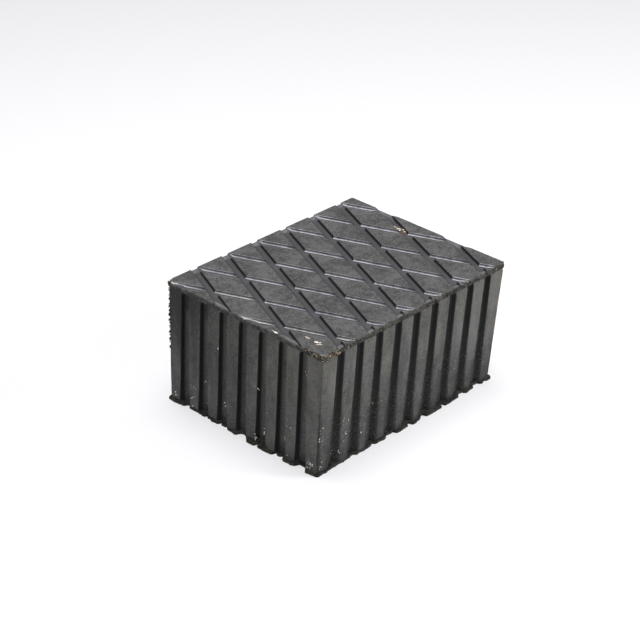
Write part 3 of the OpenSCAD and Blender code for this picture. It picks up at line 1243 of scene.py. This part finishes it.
# %% Masks of what clings to the block
def fibre_share(v):
    """Where tan fibres stick to the torn rim: thick at the front corner, thin elsewhere."""
    x, y, z = v.co
    rim_depth = from_front(v.co)
    if z < RIB_H - (1.8 if rim_depth < 0.6 * mm else 0.3) * mm:
        return 0.0
    front = y < x + (LENGTH - WIDTH) / 2
    if rim_depth < 0.9 * mm and from_corner(v.co) < (13.5 if front else 13) * mm:
        clump = ramp(0.72 + 1.9 * wobble(v.co, 1.3 * mm, 90), 0, 1)
        return clump * (1.0 if front else 0.7) * (1.0 if z < HEIGHT - 0.6 * mm else 0.2)
    if y + HALF_W < 0.9 * mm and z < HEIGHT - 0.3 * mm:
        return 0.003 + 0.025 * max(0.0, wobble((x, y, 0), 9 * mm, 77))
    return 0.2 if x + HALF_L < 4 * mm and HALF_W - y < 6 * mm else 0.0


def burr_share(v):
    """Where small burrs of rubber stand out: the left upright corner and the foot."""
    x, y, z = v.co
    left = x + HALF_L - lean_at(z) < 0.9 * mm and HALF_W - lean_at(z) - y < 1.1 * mm
    if left and 38 * mm < z < RIB_H + 2 * mm:
        return 0.5
    if y + HALF_W < 0.9 * mm and z > RIB_H - 0.5 * mm:
        return 0.3
    return 0.35 if 0.3 * mm < z < FLASH_TOP - 0.3 * mm else 0.0


# %% Write the masks
MASKS = {
    "recess": groove_shade_share, "steep": black_wall_shade_share, "dusk": violet_wall_shade_share, "polish": painted_highlight_share,
    "bloom": dust_and_painted_light_share, "torn": torn_share, "stain": stain_share, "fibre": fibre_share, "burr": burr_share,
}
skin.normal_update()
sunk = skin.verts.layers.float["sunk"]
marks = {name: [share(v) for v in skin.verts] for name, share in MASKS.items()}
for name, values in marks.items():
    layer = skin.verts.layers.float.new(name)
    for v, value in zip(skin.verts, values):
        v[layer] = value
    print(name, "marks", sum(value > 0 for value in values), "of", len(values), "vertices")
skin.verts.layers.float.remove(skin.verts.layers.float["sunk"])

# %% [markdown]
# ## Slide and waves
# Now the ribs slide, and the whole skin gets the unevenness of a heavy moulding: soft
# waves a fraction of a millimetre deep, which never lift the tread above the block.

# %% Slide the ribs and wave the skin
# Waves as (height in mm, length, seed)
WAVES = ((0.16, 22 * mm, 50), (0.05, 6 * mm, 60))

for v in skin.verts:
    if v.co.z < RIB_H - 0.01 * mm:
        v.co = slid(v.co)

moves = []
for v in skin.verts:
    wave = sum(height * wobble(v.co, length, seed) for height, length, seed in WAVES)
    if v.co.z > RIB_H + 0.5 * mm or v.co.z < 0.3 * mm:
        wave = -abs(wave)
    moves.append(v.normal * wave * mm)
for v, move in zip(skin.verts, moves):
    if v.co.z > 0.05 * mm:
        v.co = in_box(v.co + move)
print("longest wave:", round(max(move.length for move in moves) / mm, 3), "mm")

# %% The moulded block
block = add_object("moulded_block", keep_mesh(skin, "moulded_block"))
block.data.materials.append(rubber)
block.data.shade_smooth()
block.data.set_sharp_from_angle(angle=math.radians(38))
triangles = sum(len(p.vertices) - 2 for p in block.data.polygons)
print("moulded block:", triangles, "triangles")

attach(block, "root")
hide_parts("rubber_block")

# %% [markdown]
# ## Fibres, burrs and flecks
# Small things cling to the block: tan fibres in the torn rim and thick at the front
# corner, dark burrs of rubber where it was trimmed, and pale flecks low on the sides.
# Each is a crumb with a few faces. One tree scatters crumbs over the block's own skin,
# where a vertex mask says how thick they lie, and a second one sets crumbs at points.
# Each crumb gets a number of its own, its tint, that picks its tone.


# %% A crumb
def crumb(name, length, width, seed):
    """A small uneven lump, longer than wide."""
    bm = bmesh.new()
    bmesh.ops.create_icosphere(bm, subdivisions=1, radius=0.5)
    for v in bm.verts:
        v.co *= 1 + 0.45 * noise.noise(v.co * 2.3 + Vector((seed, seed, seed)))
        v.co = Vector((v.co.x * length, v.co.y * width, v.co.z * width * 0.7))
    return add_object(name, keep_mesh(bm, name))


# %% Nodes that all crumbs need
def chance(tree, seed, low=0.0, high=1.0):
    """A number, or a vector, picked by chance for each point."""
    kind = "FLOAT_VECTOR" if isinstance(low, tuple) else "FLOAT"
    return tree.node(
        "FunctionNodeRandomValue", {"data_type": kind}, {"Min": low, "Max": high, "Seed": seed}, "Value",
    )


def attribute(tree, name, kind="FLOAT"):
    return tree.node("GeometryNodeInputNamedAttribute", {"data_type": kind}, {"Name": name}, "Attribute")


def close_crumbs(tree, given, points, shape, **more):
    """End a tree with a crumb at each point, each with its own tint."""
    tinted = tree.node(
        "GeometryNodeStoreNamedAttribute", {"data_type": "FLOAT", "domain": "INSTANCE"},
        {
            "Geometry": copies(tree, points, shape_of(tree, given[shape]), **more),
            "Name": "tint",
            "Value": chance(tree, given["Seed"] + 9),
        },
    )
    close_growth(tree, tinted, given["Finish"])


# %% Finish of the fibres and the flecks
def crumb_material(name, dark, light, roughness, first_light=0.05):
    """Two tones picked crumb by crumb, with a little grain over them."""
    material, tree = new_material(name)
    grain = tree.grain(tree.node("ShaderNodeTexCoord", output="Object"), 2500, 2, 0.6)
    tint = tree.limit(tree.mask("tint") + (grain - 0.5) * 0.6, first_light, 0.95)
    lump = tree.node("ShaderNodeBsdfPrincipled", None, {
        "Base Color": tree.blend(tint, dark, light),
        "Roughness": grain * 0.2 + roughness,
        "Specular IOR Level": 0.2,
        "Normal": leathery(tree, 0.4, 0.2 * mm, grain),
    })
    tree.node("ShaderNodeOutputMaterial", None, {"Surface": lump})
    return material


fibre_brown = crumb_material("tan_fibre", (0.012, 0.01, 0.008), (0.58, 0.46, 0.32), 0.75, 0.3)
fleck_cream = crumb_material("cream_fleck", (0.45, 0.39, 0.28), (0.95, 0.92, 0.84), 0.6)
burr_black = crumb_material("rubber_burr", (0.012, 0.012, 0.011), (0.07, 0.067, 0.055), 0.7)
print("finishes:", [finish.name for finish in (fibre_brown, fleck_cream, burr_black)])


# %% Scatter fibres and burrs
def scatter(name, mask_name, per_square_metre, smallest, largest, seed, finish):
    """Scatter crumbs over the block, as thick as a mask says."""
    tree, given = new_growth(mask_name + "_scatter", {
        "Skin": "object", "Crumb": "object", "Per Square Metre": "length", "Smallest": "length",
        "Largest": "length", "Seed": "int", "Finish": "material",
    })
    density = attribute(tree, mask_name) * given["Per Square Metre"]
    points = tree.node(
        "GeometryNodeDistributePointsOnFaces", {"distribute_method": "RANDOM"},
        {"Mesh": shape_of(tree, given["Skin"]), "Density": density, "Seed": given["Seed"]}, "Points",
    )
    turn = chance(tree, given["Seed"], (0, 0, 0), (6.28, 6.28, 6.28))
    size = chance(tree, given["Seed"] + 5, given["Smallest"], given["Largest"])
    close_crumbs(tree, given, points, "Crumb", Rotation=turn, Scale=size)
    return grow(name, tree, {
        "Skin": block,
        "Crumb": lump,
        "Per Square Metre": per_square_metre,
        "Smallest": smallest * mm,
        "Largest": largest * mm,
        "Seed": seed,
        "Finish": finish,
    })


lump = crumb("crumb", 1.0, 0.45, 4.0)
fibres = scatter("rim_fibres", "fibre", 2.6e6, 0.4, 1.7, 12, fibre_brown)
burrs = scatter("rubber_burrs", "burr", 2.2e6, 0.3, 1.1, 25, burr_black)
drop(lump)
print("fibres:", len(fibres.data.polygons), "faces; burrs:", len(burrs.data.polygons), "faces")

# %% [markdown]
# ## Teeth down the left upright edge
# Where the mould halves met, a row of small teeth was left on this edge. A line of points
# gets a little chance in its places, and a tooth of a chance size stands at each.

# %% Tree of the teeth
tree, given = new_growth("edge_teeth", {
    "Tooth": "object", "Teeth": "int", "First": "vector", "Step": "vector", "Seed": "int",
    "Finish": "material",
})
line = point_line(tree, given["Teeth"], given["First"], given["Step"])
jitter = chance(tree, given["Seed"] + 5, (-0.1 * mm, -0.1 * mm, -0.8 * mm), (0.2 * mm, 0.2 * mm, 0.8 * mm))
line = tree.node("GeometryNodeSetPosition", None, {"Geometry": line, "Offset": jitter})
close_crumbs(tree, given, line, "Tooth", Scale=chance(tree, given["Seed"], 0.4, 1.15))

# %% Grow the teeth
TEETH = 16
TOOTH_FROM = 36 * mm
TOOTH_TO = 75 * mm


def left_edge(z):
    return slid(Vector((lean_at(z) - HALF_L, HALF_W - lean_at(z), z)))


tooth = crumb("tooth", 2.2 * mm, 1.3 * mm, 6.0)
for v in tooth.data.vertices:
    v.co = (v.co.y, v.co.z, v.co.x)
edge_teeth = grow("edge_teeth", tree, {
    "Tooth": tooth,
    "Teeth": TEETH,
    "First": left_edge(TOOTH_FROM),
    "Step": (left_edge(TOOTH_TO) - left_edge(TOOTH_FROM)) / (TEETH - 1),
    "Seed": 4,
    "Finish": burr_black,
})
drop(tooth)
print("teeth on the left edge:", len(edge_teeth.data.polygons), "faces")

# %% [markdown]
# ## Flecks
# The pale flecks lie in small groups low on the two front sides, and a few larger ones on
# the tread. The groups follow the photograph, and chance places the flecks of a group.

# %% Where flecks lie
# Groups on the left side as (y, z, how many), and on the front side as (x, z, how many)
LEFT_FLECKS = ((54.5, 4, 9), (39, 17, 2), (41, 9, 3), (31, 21, 5), (15, 13, 5), (2, 15, 1), (40, 3, 4),
               (30, 6, 3), (-19, 27, 2), (-34, 29, 2), (-34, 22, 3), (-16, 10, 3), (-11, 4, 3),
               (-30, 11, 5), (-33, 4, 4), (-52, 6, 16), (-10, 40, 2), (20, 50, 2), (-45, 62, 2))
FRONT_FLECKS = ((-76, 30, 4), (-77, 22, 3), (-57, 29, 3), (-56, 18, 4), (-61, 10, 4), (-28, 28, 2),
                (-74, 6, 4), (10, 35, 2), (-40, 14, 2))
# Single flecks on the tread as (x, y, turn in degrees, length, width)
TOP_FLECKS = ((-71.1, -40.4, -88, 5, 1.5), (-71.2, -46.9, -60, 3.4, 1.8), (-71.9, -49.6, -40, 4.8, 1.7),
              (-70.2, -48.6, 10, 2, 1.2), (67.7, 14.5, -80, 2.6, 1.4), (67.4, 11.4, -60, 3.4, 1.8),
              (68.3, 8.8, -85, 2.2, 1.2), (66.2, 9.8, 20, 1.6, 1.0), (66.9, 6.4, -70, 1.8, 1.1),
              (-79.3, -24.2, -90, 3.2, 1.3), (-79.0, -21.8, -80, 1.6, 0.9), (-79.4, 59.3, 45, 2.4, 1.6))
SPREAD_ALONG = 1.3
SPREAD_UP = 1.7
FLECK_LENGTHS = (0.8, 2.1)
FLECK_WIDTHS = (0.25, 0.6)
# How much longer and wider the first fleck of a group is
FIRST_LONGER = 1.6
FIRST_WIDER = 1.4
LOWEST_FLECK = 2.4 * mm
random.seed(7)


def wall_depth(along, z, pitch):
    """How deep the wall lies at a place along a side, from the face at that height."""
    side = (along / pitch + 0.5) % 1 - 0.5
    return GROOVE_DEPTH if abs(side) * pitch < mouth_at(z) - 0.6 * mm else 0.0


def wall_flecks(groups, pitch, half_width, swap):
    """Flecks of the groups on one side: where each lies, which way, how long and wide."""
    flecks = []
    for middle, height, count in groups:
        for number in range(count):
            longer, wider = (FIRST_LONGER, FIRST_WIDER) if number == 0 else (1, 1)
            along = random.gauss(middle, SPREAD_ALONG) * mm
            high = max(random.gauss(height, SPREAD_UP) * mm, LOWEST_FLECK)
            turn = random.uniform(0, math.pi)
            length = random.uniform(*FLECK_LENGTHS) * longer * mm
            width = min(random.uniform(*FLECK_WIDTHS) * wider * mm, length / 2)
            at = Vector((along, wall_depth(along, high, pitch) - half_width + lean_at(high), high))
            way = Vector((math.cos(turn), 0.2, math.sin(turn)))
            flecks.append((at.yxz, way.yxz, length, width) if swap else (at, way, length, width))
    return flecks


spots = wall_flecks(LEFT_FLECKS, SHORT_PITCH, HALF_L, swap=True)
front_spots = wall_flecks(FRONT_FLECKS, LONG_PITCH, HALF_W, swap=False)
spots += [spot for spot in front_spots if abs(spot[0].x) < HALF_L - lean_at(spot[0].z)]
for x, y, turn, length, width in TOP_FLECKS:
    way = Vector((math.cos(math.radians(turn)), math.sin(math.radians(turn)), 0))
    spots.append((Vector((x * mm, y * mm, HEIGHT - 0.25 * mm)), way, length * mm, width * mm))
print(len(spots), "flecks")

# %% Tree that sets a fleck at each point
tree, given = new_growth("fleck_setting", {
    "Spots": "object", "Fleck": "object", "Seed": "int", "Finish": "material",
})
points = shape_of(tree, given["Spots"])
turn, size = [attribute(tree, name, "FLOAT_VECTOR") for name in ("turn", "size")]
close_crumbs(tree, given, points, "Fleck", Rotation=turn, Scale=size)

# %% Set the flecks
spot_points = mesh_object("spots", [place for place, *_ in spots])
turns = spot_points.data.attributes.new("turn", "FLOAT_VECTOR", "POINT")
sizes = spot_points.data.attributes.new("size", "FLOAT_VECTOR", "POINT")
for i, (_, way, length, width) in enumerate(spots):
    turns.data[i].vector = way.to_track_quat("X", "Z").to_euler()
    sizes.data[i].vector = (length, width, width * 0.8)
fleck = crumb("fleck", 1.0, 1.0, 9.0)
pale_flecks = grow("pale_flecks", tree, {
    "Spots": spot_points, "Fleck": fleck, "Seed": 3, "Finish": fleck_cream,
})
drop(fleck)
drop(spot_points)

# %% Keep the crumbs in the block's box
for piece in (fibres, burrs, edge_teeth, pale_flecks):
    for v in piece.data.vertices:
        v.co = in_box(v.co, RIB_H + 0.05 * mm if piece is fibres else 0.0)
    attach(piece, "root")
    print(piece.name, "has", len(piece.data.polygons), "faces")
